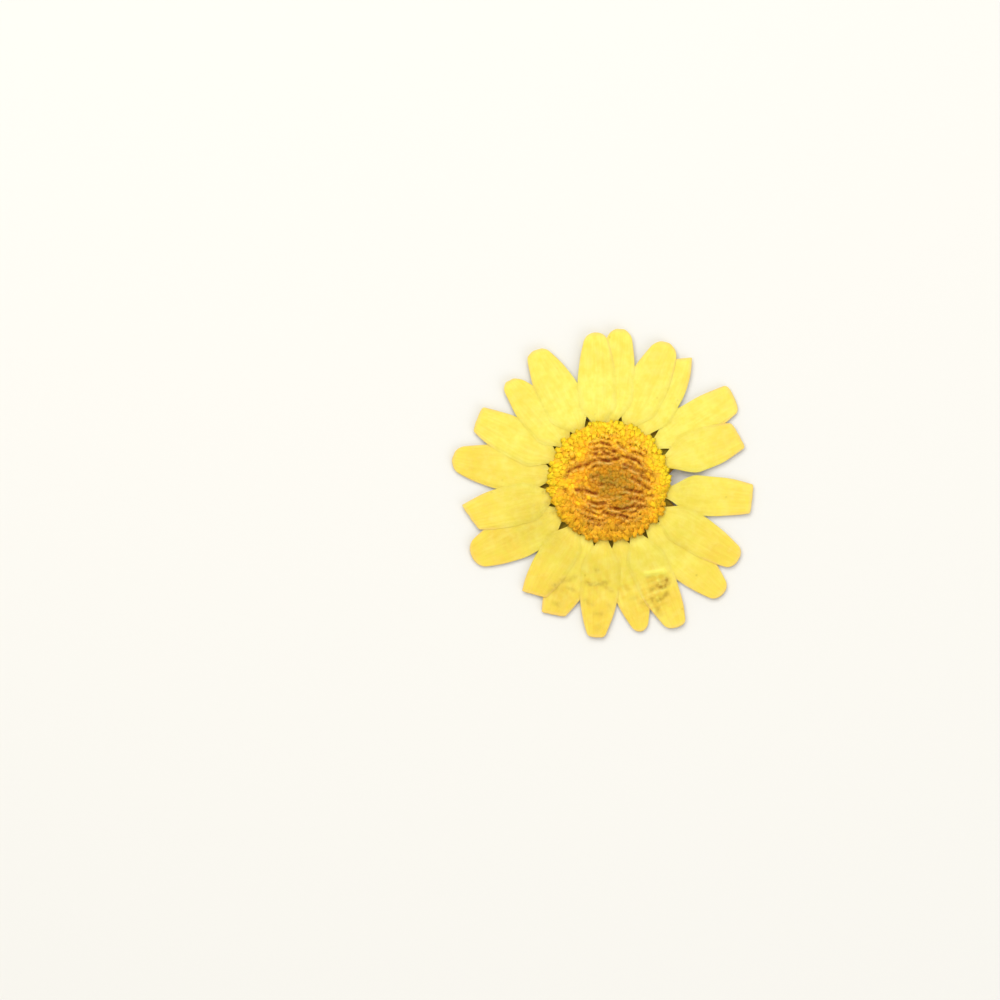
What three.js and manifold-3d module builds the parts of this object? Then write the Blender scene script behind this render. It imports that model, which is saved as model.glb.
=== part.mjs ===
// A pressed yellow daisy: one flower head, dried flat, lying face up on its green base.
// Units are millimetres. +Z is up, the flower's axis is the Z axis, and it rests on the plane z = 0.
// Every angle is in degrees, turning anticlockwise from +X, seen from above.
import * as THREE from "three";
import { mergeVertices } from "three/addons/utils/BufferGeometryUtils.js";
import Module from "manifold-3d";

const wasm = await Module();
wasm.setup();

// The driving dimensions of the whole flower.
const BLADE = 0.64; // thickness of a petal, straight up
const SEAT_GAP = 0.3; // clearance between two pieces that rest on each other
const GOLDEN_ANGLE = 180 * (3 - Math.sqrt(5)); // the turn from one disc floret to the next

// The ray petals: one line each, read off the real flower, because no two are alike.
// root and tip are the directions of the petal's two ends, reach is how far its tip is from the axis,
// half is half its greatest width, full is the place along it where it is first that wide, and share
// is how much of the width is left at the tip. round is how far the corners fall back behind the tip,
// square says how blunt the tip is, slant moves one corner out and the other in, and layer counts up
// from the lowest petals.
const PETAL_VALUES = [
  "root", "tip", "reach", "half", "full", "share", "round", "square", "slant", "layer",
];
const PETALS = [
  [103.0, 95.0, 12.8, 1.63, 0.38, 0.68, 1.15, 2.1, 0, 4],
  [89.2, 85.4, 13.1, 1.62, 0.42, 0.7, 1.25, 2.1, 0, 3],
  [73.6, 66.6, 12.92, 1.8, 0.43, 0.7, 1.3, 2.0, 0, 2],
  [51.9, 59.1, 12.28, 1.66, 0.39, 0.46, 0.2, 5.0, -0.5, 1],
  [41.2, 33.7, 12.95, 1.68, 0.45, 0.78, 0.65, 3.0, 0.15, 0],
  [17.6, 19.6, 11.85, 1.79, 0.5, 0.7, 0.4, 4.0, -0.2, 1],
  [346.6, 353.0, 12.4, 1.7, 0.46, 0.75, 0.3, 5.0, 0.05, 0],
  [329.8, 328.8, 13.0, 1.64, 0.4, 0.69, 1.05, 2.3, 0, 1],
  [311.8, 315.5, 13.75, 1.86, 0.42, 0.58, 1.0, 2.2, 0, 0],
  [297.0, 295.1, 13.8, 1.71, 0.4, 0.6, 0.95, 2.5, 0.15, 1],
  [279.5, 282.4, 13.15, 1.64, 0.42, 0.5, 1.0, 2.0, 0, 0],
  [264.0, 265.5, 13.4, 1.67, 0.4, 0.52, 0.7, 3.0, 0, 1],
  [249.0, 247.6, 12.35, 1.73, 0.4, 0.6, 0.2, 4.0, -0.22, 0],
  [232.0, 236.6, 11.6, 1.6, 0.38, 0.66, 0.2, 5.0, -0.3, 1],
  [215.5, 209.0, 13.35, 2.04, 0.38, 0.68, 1.2, 2.1, 0, 0],
  [193.0, 194.5, 12.25, 1.76, 0.42, 0.7, 0.2, 4.0, -0.45, 1],
  [176.0, 171.6, 13.5, 1.9, 0.38, 0.66, 1.2, 2.1, 0, 0],
  [158.0, 154.5, 12.45, 1.7, 0.4, 0.68, 0.35, 3.4, -0.12, 1],
  [141.4, 134.4, 12.12, 1.64, 0.38, 0.64, 1.2, 2.1, 0.25, 2],
  [121.2, 119.0, 12.85, 1.79, 0.38, 0.6, 0.9, 2.3, 0.1, 3],
].map((row) => Object.fromEntries(row.map((value, i) => [PETAL_VALUES[i], value])));
const ROOT_RADIUS = 3.8; // where a petal's blade begins, in the ring of bases
const ROOT_SHARE = 0.24; // width of the narrow root, as a share of the widest place
const WIDENS_FROM = 0.1; // the blade begins to widen here along it
const NARROWS_FROM = 0.58; // and narrows to its tip from here
const PETAL_STEPS = { along: 10, across: 6 };

// The heights of the petals: high over the base, falling outside it, one step up for each layer.
const PETAL_HIGH = 1.22;
const PETAL_LOW = 0.55;
const FALL = { from: 5.6, to: 9.5 };
const LAYER_STEP = 0.15;
const LAYERS_PART = { from: 4.4, to: 6.0 };
const BOW = 0.1; // how far a petal's sides hang below its middle
const WAVE = { height: 0.07, count: 1.3 };
const ROOT_JITTER = 0.02;

// The green base: a round flat receptacle and two rows of bracts. The bracts of the upper row lie in
// the gaps between the petals' roots, and the lower row is turned on from them.
const BASE = { radius: 3.1, thick: 0.66, bevel: 0.1, sides: 36 };
const BRACT_ROWS = [
  { turn: 0, from: 2.2, reach: 6.1, half: 0.75, low: 0.1 },
  { turn: 8.6, from: 2.2, reach: 5.1, half: 0.7, low: 0 },
];
const WIDE_GAP = 24; // degrees between two petals' roots, from which two bracts lie between them
const BRACT_ASIDE = 2.5; // degrees from a petal's root to the bract beside it there
const BRACT_THICK = 0.6;
const BRACT_STEPS = { along: 4, across: 2 };
const BRACT_WIDEST = 0.4; // where along its length a bract is widest
const BRACT_TIP = 0.12; // blunt width of its tip, as a share of its widest place
const BRACT_SPREAD = { turn: 1, reach: 0.02 }; // how far bracts differ: degrees, and share of reach

// The disc: a low core with a stub through the petals' ring, covered by tubular florets.
const DISC = { radius: 5.0, florets: 140, sides: 5, core_sides: 30 };
const STUB_RADIUS = 3.1;
const STUB_LOW = BASE.thick + SEAT_GAP;
const RIM_LOW = PETAL_HIGH + BLADE / 2 + SEAT_GAP;
const CORE_UNDER = [
  [0, STUB_LOW],
  [STUB_RADIUS, STUB_LOW],
  [STUB_RADIUS, RIM_LOW],
  [4.4, RIM_LOW],
];
const CORE_TOP = [
  [4.8, 2.02],
  [4.5, 2.3],
  [3.2, 2.5],
  [1.6, 2.52],
  [0, 2.44],
];

// One disc floret: bud is for the closed ones in the middle, mouth for the open ones further out.
// Heights are over the core, except sunk, which is below it. Shares of the disc's radius say where
// the florets begin to open and from where they are all open.
const FLORET = {
  root: 0.26,
  sunk: 0.35,
  bud: { radius: 0.22, stand: 0.24, dish: -0.14 },
  mouth: { radius: 0.38, stand: 0.4, dish: 0.12 },
  opens: { from: 0.3, to: 0.75 },
  inset: 0.15, // how far inside the disc's radius the outermost floret is rooted
  lean: 26,
};
const FLORET_SPREAD = { radius: 0.1, stand: 0.2, lean: 5 }; // two shares, and degrees

// The ring that the petals' bases form under the disc, round its stub.
const COLLAR = { inner: STUB_RADIUS + SEAT_GAP, outer: 4.6, low: 0.96, high: 1.46, sides: 40 };

const SEED = 7;
const MERGE = 1e-4; // vertices closer than this are one
const SMALLEST_DETAIL = 0.01; // slivers smaller than this are taken out where solids join

// A seeded source of random numbers from 0 to 1, so that each build gives the same flower.
function randomSource(seed) {
  let state = seed >>> 0;
  return () => {
    state = (state + 0x6d2b79f5) >>> 0;
    let mixed = Math.imul(state ^ (state >>> 15), state | 1);
    mixed ^= mixed + Math.imul(mixed ^ (mixed >>> 7), mixed | 61);
    return ((mixed ^ (mixed >>> 14)) >>> 0) / 4294967296;
  };
}

const random = randomSource(SEED);
const around = (spread) => (random() * 2 - 1) * spread;
const radians = THREE.MathUtils.degToRad;
const smooth = THREE.MathUtils.smoothstep;

// A closed three.js geometry as a manifold solid: its shared vertices are merged first.
function solidOf(geometry) {
  const bare = geometry.clone();
  bare.deleteAttribute("normal");
  bare.deleteAttribute("uv");
  const merged = mergeVertices(bare, MERGE);
  const corners = merged.index.array;
  const kept = [];
  for (let i = 0; i < corners.length; i += 3) {
    const [a, b, c] = [corners[i], corners[i + 1], corners[i + 2]];
    if (a !== b && b !== c && c !== a) kept.push(a, b, c);
  }
  const solid = new wasm.Manifold(
    new wasm.Mesh({
      numProp: 3,
      vertProperties: merged.attributes.position.array,
      triVerts: new Uint32Array(kept),
    }),
  );
  if (solid.volume() <= 0) throw new Error("a solid has its faces turned inwards");
  return solid;
}

// Joins solids, and gives the result back as a mesh with flat facets.
function joinedMesh(name, solids, material) {
  const joined = solids.reduce((sum, solid) => sum.add(solid)).simplify(SMALLEST_DETAIL);
  const made = joined.getMesh();
  const geometry = new THREE.BufferGeometry();
  const step = made.numProp;
  const positions = new Float32Array(made.numVert * 3);
  for (let i = 0; i < made.numVert; i++) {
    positions.set(made.vertProperties.subarray(i * step, i * step + 3), i * 3);
  }
  geometry.setAttribute("position", new THREE.BufferAttribute(positions, 3));
  geometry.setIndex(new THREE.BufferAttribute(made.triVerts, 1));
  geometry.computeVertexNormals();
  const mesh = new THREE.Mesh(geometry, material);
  mesh.name = name;
  return mesh;
}

// A profile of [radius, height] points, from bottom to top on the outside, turned about the Z axis.
function turned(profile, sides) {
  const points = profile.map(([radius, height]) => new THREE.Vector2(radius, height));
  return new THREE.LatheGeometry(points, sides).rotateX(Math.PI / 2);
}

// A blade: a grid of points over along = 0 to 1 and across = -1 to 1, closer together at its sides,
// with a lower face the given thickness below the upper one. Both faces are split into triangles
// alike, so they never cross.
function bladeSolid(steps, thickness, pointAt) {
  const columns = steps.across + 1;
  const count = (steps.along + 1) * columns;
  const positions = [];
  for (const drop of [0, thickness]) {
    for (let row = 0; row <= steps.along; row++) {
      for (let column = 0; column < columns; column++) {
        const p = pointAt(row / steps.along, -Math.cos((Math.PI * column) / steps.across));
        positions.push(p.x, p.y, p.z - drop);
      }
    }
  }
  const faces = [];
  const quad = (a, b, c, d) => faces.push(a, b, c, a, c, d);
  for (let row = 0; row < steps.along; row++) {
    for (let column = 0; column < steps.across; column++) {
      const a = row * columns + column;
      const [b, c, d] = [a + columns, a + columns + 1, a + 1];
      quad(a, b, c, d);
      faces.push(a + count, c + count, b + count, a + count, d + count, c + count);
    }
  }
  const rim = [];
  for (let column = 0; column < columns; column++) rim.push(column);
  for (let row = 1; row <= steps.along; row++) rim.push(row * columns + steps.across);
  for (let column = steps.across - 1; column >= 0; column--) rim.push(steps.along * columns + column);
  for (let row = steps.along - 1; row > 0; row--) rim.push(row * columns);
  rim.forEach((a, i) => {
    const b = rim[(i + 1) % rim.length];
    quad(a, b, b + count, a + count);
  });
  const geometry = new THREE.BufferGeometry();
  geometry.setAttribute("position", new THREE.Float32BufferAttribute(positions, 3));
  geometry.setIndex(faces);
  return solidOf(geometry);
}

// The upper face of one ray petal. Its axis runs from the root point to the tip point.
function petalSurface(petal) {
  const at = (angle, radius) =>
    new THREE.Vector2(Math.cos(radians(angle)), Math.sin(radians(angle))).multiplyScalar(radius);
  const root = at(petal.root, ROOT_RADIUS);
  const axis = at(petal.tip, petal.reach).sub(root);
  const length = axis.length();
  axis.normalize();
  const side = new THREE.Vector2(-axis.y, axis.x);
  const phase = random() * 2 * Math.PI;
  const jitter = around(ROOT_JITTER);
  return (along, across) => {
    const widening = ROOT_SHARE + (1 - ROOT_SHARE) * smooth(along, WIDENS_FROM, petal.full);
    const closing = Math.max(0, (along - NARROWS_FROM) / (1 - NARROWS_FROM)) ** 2;
    const half = petal.half * widening * (1 - (1 - petal.share) * closing);
    const fallen = 1 - (1 - Math.abs(across) ** petal.square) ** (1 / petal.square);
    const end = length - petal.round * fallen + petal.slant * across;
    const x = root.x + axis.x * along * end + side.x * half * across;
    const y = root.y + axis.y * along * end + side.y * half * across;
    const radius = Math.hypot(x, y);
    const height =
      PETAL_HIGH -
      (PETAL_HIGH - PETAL_LOW) * smooth(radius, FALL.from, FALL.to) +
      LAYER_STEP * petal.layer * smooth(radius, LAYERS_PART.from, LAYERS_PART.to) -
      BOW * across * across * along +
      WAVE.height * along * Math.sin(2 * Math.PI * WAVE.count * along + phase) +
      jitter;
    return { x, y, z: height + BLADE / 2 };
  };
}

// The ring of the petals' bases: a flat washer turned about the axis.
function collarSolid() {
  const { inner, outer, low, high, sides } = COLLAR;
  const profile = [
    [inner, low],
    [outer, low],
    [outer, high],
    [inner, high],
    [inner, low],
  ];
  return solidOf(turned(profile, sides));
}

// All ray petals and the ring of their bases as one solid.
function rayPetals(material) {
  const blades = PETALS.map((petal) => bladeSolid(PETAL_STEPS, BLADE, petalSurface(petal)));
  return joinedMesh("ray_petals", [collarSolid(), ...blades], material);
}

// The height of the disc's core at a distance from the axis, along the upper part of its profile.
function coreHeight(radius) {
  const inward = CORE_TOP.findIndex(([edge]) => edge <= radius);
  if (inward <= 0) return CORE_TOP[0][1];
  const [outerRadius, outerHeight] = CORE_TOP[inward - 1];
  const [innerRadius, innerHeight] = CORE_TOP[inward];
  return THREE.MathUtils.mapLinear(radius, outerRadius, innerRadius, outerHeight, innerHeight);
}

// One disc floret: a five-sided tube, narrow at its root and wider at its dished mouth, closed to a
// small bud near the middle of the disc. It leans outwards more the nearer it is to the rim.
function floretSolid(index) {
  const share = Math.sqrt((index + 0.5) / DISC.florets);
  const radius = share * (DISC.radius - FLORET.inset);
  const angle = radians(index * GOLDEN_ANGLE);
  const open = smooth(share, FLORET.opens.from, FLORET.opens.to);
  const between = (key) => THREE.MathUtils.lerp(FLORET.bud[key], FLORET.mouth[key], open);
  const mouth = between("radius") * (1 + around(FLORET_SPREAD.radius));
  const stand = between("stand") * (1 + around(FLORET_SPREAD.stand));
  const root = Math.min(FLORET.root, mouth);
  const profile = [
    [0, -FLORET.sunk],
    [root, -FLORET.sunk],
    [root, 0],
    [mouth, stand],
    [0, stand - between("dish")],
  ];
  const place = new THREE.Object3D();
  place.position.set(Math.cos(angle) * radius, Math.sin(angle) * radius, coreHeight(radius));
  place.rotation.set(0, 0, angle);
  place.rotateY(radians(FLORET.lean * share * share + around(FLORET_SPREAD.lean)));
  place.rotateZ(random() * 2 * Math.PI);
  place.updateMatrix();
  return solidOf(turned(profile, DISC.sides).applyMatrix4(place.matrix));
}

// The disc as one solid: the core, with its florets along a golden-angle spiral.
function discFlorets(material) {
  const core = solidOf(turned([...CORE_UNDER, ...CORE_TOP], DISC.core_sides));
  const florets = Array.from({ length: DISC.florets }, (_, index) => floretSolid(index));
  return joinedMesh("disc_florets", [core, ...florets], material);
}

// The directions of a row of bracts, before its turn: one midway between each two petals' roots, and
// in a wide gap one close beside each of the two petals.
function gapAngles() {
  const roots = PETALS.map((petal) => petal.root).sort((a, b) => a - b);
  return roots.flatMap((root, index) => {
    const gap = (index + 1 < roots.length ? roots[index + 1] : roots[0] + 360) - root;
    return gap > WIDE_GAP ? [root + BRACT_ASIDE, root + gap - BRACT_ASIDE] : [root + gap / 2];
  });
}

// The upper face of one green bract: a pointed blade that lies flat.
function bractSurface(row, angle) {
  const [cos, sin] = [Math.cos(radians(angle)), Math.sin(radians(angle))];
  const reach = row.reach * (1 + around(BRACT_SPREAD.reach));
  return (along, across) => {
    const swell = smooth(along, -BRACT_WIDEST, BRACT_WIDEST);
    const closing = smooth(along, BRACT_WIDEST, 1) ** 1.3;
    const half = row.half * swell * (1 - (1 - BRACT_TIP) * closing);
    const distance = row.from + along * (reach - row.from);
    return {
      x: cos * distance - sin * half * across,
      y: sin * distance + cos * half * across,
      z: row.low + BRACT_THICK,
    };
  };
}

// The green base as one solid: the receptacle and its bracts.
function involucre(material) {
  const profile = [
    [0, 0],
    [BASE.radius, 0],
    [BASE.radius, BASE.thick - BASE.bevel],
    [BASE.radius - BASE.bevel, BASE.thick],
    [0, BASE.thick],
  ];
  const base = solidOf(turned(profile, BASE.sides));
  const bracts = BRACT_ROWS.flatMap((row) =>
    gapAngles().map((gap) => {
      const angle = gap + row.turn + around(BRACT_SPREAD.turn);
      return bladeSolid(BRACT_STEPS, BRACT_THICK, bractSurface(row, angle));
    }),
  );
  return joinedMesh("involucre", [base, ...bracts], material);
}

const daisy = new THREE.Group();
daisy.name = "pressed_daisy";
daisy.add(
  rayPetals(new THREE.MeshStandardMaterial({ color: 0xfbe85e, roughness: 0.75, metalness: 0 })),
  discFlorets(new THREE.MeshStandardMaterial({ color: 0xd8952a, roughness: 0.85, metalness: 0 })),
  involucre(new THREE.MeshStandardMaterial({ color: 0x6f7a3c, roughness: 0.85, metalness: 0 })),
);

export default daisy;
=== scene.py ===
"""Dresses the pressed daisy: finer petals, disc florets and green base over the CAD frame, and a stage.

Sizes in the tables are millimetres, and Blender's are metres. +Z is up the flower's axis, and every
angle is in degrees, anticlockwise from +X seen from above.
"""

import bpy
import numpy as np
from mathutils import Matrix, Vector
from bpy.props import FloatProperty, FloatVectorProperty, IntProperty, PointerProperty


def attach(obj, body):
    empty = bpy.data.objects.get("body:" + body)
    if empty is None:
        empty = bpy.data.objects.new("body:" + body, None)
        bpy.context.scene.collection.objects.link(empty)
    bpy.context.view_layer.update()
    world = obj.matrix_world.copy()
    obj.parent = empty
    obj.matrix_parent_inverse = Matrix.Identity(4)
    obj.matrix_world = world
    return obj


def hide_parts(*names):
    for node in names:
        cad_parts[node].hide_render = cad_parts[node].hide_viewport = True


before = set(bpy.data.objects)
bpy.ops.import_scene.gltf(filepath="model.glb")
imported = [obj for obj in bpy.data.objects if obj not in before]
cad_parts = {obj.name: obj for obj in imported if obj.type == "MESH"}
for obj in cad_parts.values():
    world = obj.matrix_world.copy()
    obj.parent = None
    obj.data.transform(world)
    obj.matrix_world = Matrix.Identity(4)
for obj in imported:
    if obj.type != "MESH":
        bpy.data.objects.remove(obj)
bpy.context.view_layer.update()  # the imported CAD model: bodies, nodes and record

bl_info = {
    "name": "Pressed Daisy",
    "version": (1, 0, 0),
    "blender": (4, 5, 0),
    "location": "3D View > Sidebar > Daisy",
    "description": "Builds a pressed daisy's petals, florets and green base over its CAD frame",
    "category": "Object",
}

MM = 0.001
BODY = "root"
GOLDEN_ANGLE = np.pi * (3 - np.sqrt(5))

# The ray petals, one line each, as on the CAD part: root and tip are the directions of the two ends,
# reach is the tip's distance from the axis, half is half the greatest width, full is the place along
# the petal where it is first that wide, share is how much of it is left at the tip, round is how far
# the corners fall back, square says how blunt the tip is, slant moves one corner out and the other in,
# and layer counts up from the lowest petals.
PETAL_VALUES = ("root", "tip", "reach", "half", "full", "share", "round", "square", "slant", "layer")
PETALS = [
    dict(zip(PETAL_VALUES, row))
    for row in (
        (103.0, 95.0, 12.8, 1.63, 0.38, 0.68, 1.15, 2.1, 0, 4),
        (89.2, 85.4, 13.1, 1.62, 0.42, 0.7, 1.25, 2.1, 0, 3),
        (73.6, 66.6, 12.92, 1.8, 0.43, 0.7, 1.3, 2.0, 0, 2),
        (51.9, 59.1, 12.28, 1.66, 0.39, 0.46, 0.2, 5.0, -0.5, 1),
        (41.2, 33.7, 12.95, 1.68, 0.45, 0.78, 0.65, 3.0, 0.15, 0),
        (17.6, 19.6, 11.85, 1.79, 0.5, 0.7, 0.4, 4.0, -0.2, 1),
        (346.6, 353.0, 12.4, 1.7, 0.46, 0.75, 0.3, 5.0, 0.05, 0),
        (329.8, 328.8, 13.0, 1.64, 0.4, 0.69, 1.05, 2.3, 0, 1),
        (311.8, 315.5, 13.75, 1.86, 0.42, 0.58, 1.0, 2.2, 0, 0),
        (297.0, 295.1, 13.8, 1.71, 0.4, 0.6, 0.95, 2.5, 0.15, 1),
        (279.5, 282.4, 13.15, 1.64, 0.42, 0.5, 1.0, 2.0, 0, 0),
        (264.0, 265.5, 13.4, 1.67, 0.4, 0.52, 0.7, 3.0, 0, 1),
        (249.0, 247.6, 12.35, 1.73, 0.4, 0.6, 0.2, 4.0, -0.22, 0),
        (232.0, 236.6, 11.6, 1.6, 0.38, 0.66, 0.2, 5.0, -0.3, 1),
        (215.5, 209.0, 13.35, 2.04, 0.38, 0.68, 1.2, 2.1, 0, 0),
        (193.0, 194.5, 12.25, 1.76, 0.42, 0.7, 0.2, 4.0, -0.45, 1),
        (176.0, 171.6, 13.5, 1.9, 0.38, 0.66, 1.2, 2.1, 0, 0),
        (158.0, 154.5, 12.45, 1.7, 0.4, 0.68, 0.35, 3.4, -0.12, 1),
        (141.4, 134.4, 12.12, 1.64, 0.38, 0.64, 1.2, 2.1, 0.25, 2),
        (121.2, 119.0, 12.85, 1.79, 0.38, 0.6, 0.9, 2.3, 0.1, 3),
    )
]
# How much deeper the yellow of each petal is than its place on the flower gives.
DEEPER = (
    (-0.06, -0.04, 0.08, 0.04, 0.02, 0.12, 0.04, 0, 0, 0)
    + (0.08, 0, 0, 0, 0.08, 0.14, 0.14, 0.1, 0.05, 0.04)
)
ROOT_RADIUS = 3.8  # where a petal's blade begins
ROOT_SHARE = 0.24  # width of the narrow root, as a share of the widest place
WIDENS_FROM = 0.1  # a petal begins to widen here along it
NARROWS_FROM = 0.58  # and narrows to its tip from here
PETAL_GRID = (112, 46)  # points along and across one petal

# Heights of the petal sheets: high over the base, falling outside it, one step up for each layer.
PETAL_HIGH = 1.22
PETAL_LOW = 0.42
FALL = (5.6, 9.5)  # the two distances from the axis between which the petals fall
LAYERS_PART = (4.4, 6.0)  # and those between which their layers part

# What single petals show: folds and crumpled places where they were pressed over a neighbour, and the
# stains there. A fold is its path, height and half width, the other two are x, y, radius, strength.
FOLDS = (
    (((3.25, -7.9), (4.0, -7.82), (4.7, -7.72)), 0.12, 0.22),
    (((-1.75, -8.85), (-1.0, -8.75), (-0.4, -8.8)), 0.035, 0.12),
    (((4.1, -10.4), (4.4, -9.6), (4.9, -9.1)), 0.03, 0.15),
)
CRUMPLES = (
    (4.3, -8.7, 0.8, 2.4), (3.9, -10.0, 1.3, 1.8), (-1.1, -8.6, 1.3, 0.55), (-3.6, -9.2, 1.3, 0.4),
    (1.6, -9.3, 1.2, 0.5), (-1.2, -11.8, 0.9, 0.5), (-7.6, -5.4, 1.4, 0.3),
)
# Olive spots. Most are stains, but the four broad, faint ones beside the disc, at (-5.6, -2.6), (-6.3,
# -0.8), (-4.6, -4.6) and (6.2, -0.6), are painted shade on the petals round it.
STAINS_AND_SHADE = (
    (4.6, -8.6, 0.5, 0.5), (3.7, -8.5, 0.5, 0.3), (4.2, -10.1, 0.7, 0.3), (4.4, -11.3, 0.35, 0.25),
    (-1.1, -8.95, 0.6, 0.2), (-4.0, -9.1, 1.0, 0.22), (-0.9, -12.5, 0.4, 0.22), (-5.6, -2.6, 1.3, 0.28),
    (-6.3, -0.8, 1.1, 0.16), (-4.6, -4.6, 0.9, 0.22), (-7.4, -4.3, 1.6, 0.16), (-8.6, -4.9, 0.8, 0.18),
    (6.2, -0.6, 0.9, 0.2), (-5.5, -0.9, 0.25, 0.6), (-5.3, -1.9, 0.3, 0.6), (-4.8, -2.7, 0.3, 0.6),
    (-5.5, 1.35, 0.25, 0.4),
)
# Short creases, darkened to olive brown along their bottoms, partly as browning and partly as painted
# shade in the creases: the path of each, and how strong it is.
CREASES = (
    (((4.2, -8.95), (4.75, -9.08), (4.98, -8.8), (5.05, -8.35)), 1.0),
    (((3.65, -9.27), (3.92, -9.15)), 0.7),
    (((4.98, -9.6), (4.65, -9.95), (4.2, -10.2)), 0.7),
    (((3.7, -10.05), (3.85, -10.35)), 0.6),
    (((4.25, -10.75), (4.2, -11.2)), 0.6),
    (((3.45, -8.32), (3.95, -8.27)), 0.35),
    (((2.9, -10.4), (3.3, -10.6)), 0.3),
    (((-1.75, -8.75), (-1.0, -8.8), (-0.2, -8.68)), 0.6),
    (((-1.15, -7.5), (-1.0, -7.7)), 0.4),
    (((-0.3, -9.0), (0.3, -9.35)), 0.3),
    (((-1.95, -10.2), (-1.45, -10.5)), 0.4),
    (((-1.1, -11.3), (-0.6, -11.4)), 0.35),
    (((0.1, -10.6), (0.15, -11.0)), 0.25),
    (((-3.95, -8.5), (-3.4, -8.42), (-2.95, -8.2)), 0.45),
    (((-4.3, -8.88), (-3.95, -8.65)), 0.35),
    (((-4.6, -8.85), (-4.4, -9.15)), 0.5),
    (((-5.0, -9.45), (-4.6, -9.3)), 0.35),
    (((-3.5, -9.1), (-2.9, -9.3)), 0.35),
    (((-4.7, -10.45), (-4.2, -10.6)), 0.35),
    (((1.3, -9.0), (1.6, -9.15)), 0.3),
    (((2.0, -10.05), (2.4, -9.9)), 0.25),
)

# The disc: the core's outline as (distance from the axis, height), from below to the top.
CORE_OUTLINE = (
    (2.9, 0.72), (3.1, 0.9), (3.1, 1.3), (3.7, 1.4), (4.75, 1.44), (5.05, 1.6), (4.95, 1.82),
    (4.5, 2.02), (3.6, 2.2), (2.6, 2.42), (1.2, 2.5), (0.5, 2.46),
)
UPPER_FROM = 5  # the outline's upper face begins with this point
CORE_POLES = (0.72, 2.45)  # heights on the axis, below and on top
CORE_STEPS = 84  # rings along the outline
CORE_COLUMNS = 240  # points round each ring
CORE_SHADED_TO = 4.8  # the distance from the axis at which the core has its outermost colour
# Painted shade: the dark brown that the troughs of the disc's wrinkles are darkened to.
PAINTED_TROUGH_SHADE = "#843C00"
LIP_RISE = 0.12  # how far the lips of the disc's wrinkles rise
TROUGH_DROP = 0.2  # and how far their troughs sink

# One tubular floret as rings from its root to its throat, open and as a closed bud: radius, height, how
# much its five lobes show, and how dark it is there, which is painted shade, deepest at the root between
# the tubes and a little in the throat.
FLORET_COLUMNS = 10
BUDS_TO = 0.3  # florets nearer the middle than this share of the disc are closed buds
OPEN_FROM = 0.7  # and those from here on are open
OPEN_FLORET = {
    "radius": (0.12, 0.15, 0.24, 0.31, 0.11),
    "height": (-0.45, 0.06, 0.2, 0.25, 0.225),
    "lobed": (0, 0.1, 0.7, 1, 0.3),
    "dark": (1, 0.6, 0.2, 0, 0.15),
    "poles": (-0.47, 0.26),
}
BUD = {
    "radius": (0.12, 0.19, 0.21, 0.16, 0.08),
    "height": (-0.45, 0.0, 0.12, 0.23, 0.28),
    "lobed": (0, 0.15, 0.3, 0.4, 0.4),
    "dark": (1, 0.5, 0.15, 0, 0.1),
    "poles": (-0.47, 0.3),
}

# The wrinkles that pressing left in the disc: the path of each trough, and how deep it is.
WRINKLES = (
    (((-3.7, 0.45), (-3.45, 0.85), (-3.0, 1.15), (-1.8, 1.45)), 0.85),
    (((-0.9, 1.95), (-0.1, 1.72), (0.8, 1.95)), 1.0),
    (((-0.7, 3.3), (-0.3, 3.2), (0.1, 3.1)), 0.9),
    (((0.8, 3.3), (1.1, 2.95), (1.4, 2.85)), 0.8),
    (((0.35, 2.62), (0.55, 2.55)), 0.9),
    (((-0.6, 2.75), (-0.35, 2.42), (0.0, 2.35)), 0.75),
    (((-1.55, 2.4), (-1.1, 2.35)), 0.8),
    (((-3.4, 1.75), (-2.95, 1.95)), 0.5),
    (((1.2, 2.15), (1.9, 1.95), (2.35, 1.8), (2.75, 1.4)), 0.85),
    (((1.3, 1.45), (1.8, 1.2), (2.5, 0.9)), 0.8),
    (((2.7, 0.75), (3.2, 0.92), (3.8, 0.5)), 0.65),
    (((2.65, 0.55), (2.9, 0.3), (3.4, 0.15)), 0.8),
    (((2.0, 0.3), (2.6, -0.1), (3.5, -0.65)), 0.8),
    (((1.4, -0.65), (2.0, -0.8), (2.8, -0.95)), 0.9),
    (((1.8, -1.5), (2.3, -1.38), (2.95, -1.7)), 0.85),
    (((3.1, -1.25), (3.8, -1.2)), 0.5),
    (((1.8, -2.1), (2.3, -2.18), (3.0, -2.1)), 0.8),
    (((0.1, -2.2), (0.8, -2.42), (1.6, -2.25)), 1.0),
    (((-0.5, -2.6), (0.1, -2.8), (1.0, -2.85), (1.6, -3.1)), 0.9),
    (((-2.8, -0.7), (-2.2, -0.72), (-1.6, -0.98), (-1.1, -1.02)), 1.0),
    (((-1.8, -1.65), (-1.3, -1.85), (-0.3, -1.92)), 0.8),
    (((-2.9, -2.15), (-2.0, -2.2)), 0.4),
    (((-1.9, -2.65), (-1.5, -2.35)), 0.4),
    (((-1.4, -3.3), (-1.0, -3.4), (-0.8, -3.65)), 0.55),
    (((0.8, -3.5), (1.2, -3.5)), 0.4),
    (((-0.9, -0.2), (-0.3, -0.22), (0.4, -0.3)), 0.5),
    (((-1.5, 0.35), (-1.0, 0.5)), 0.4),
    (((-3.9, -0.7), (-3.4, -0.85)), 0.45),
    (((-1.8, 1.72), (-1.3, 1.7)), 0.4),
)

# The green base: rows of bracts from the innermost, which is the longest and lies highest.
BRACT_ROWS = (
    {"turn": 0, "start": 2.0, "reach": 6.3, "half": 0.85, "height": 0.6},
    {"turn": 8.6, "start": 1.7, "reach": 5.2, "half": 0.66, "height": 0.36},
    {"turn": 4.3, "start": 1.3, "reach": 4.0, "half": 0.56, "height": 0.14},
)
WIDE_GAP = 24  # degrees between two petals' roots from which two bracts lie between them
BRACT_ASIDE = 2.5  # degrees from a petal's root to the bract beside it there
BRACT_GRID = (26, 13)

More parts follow.
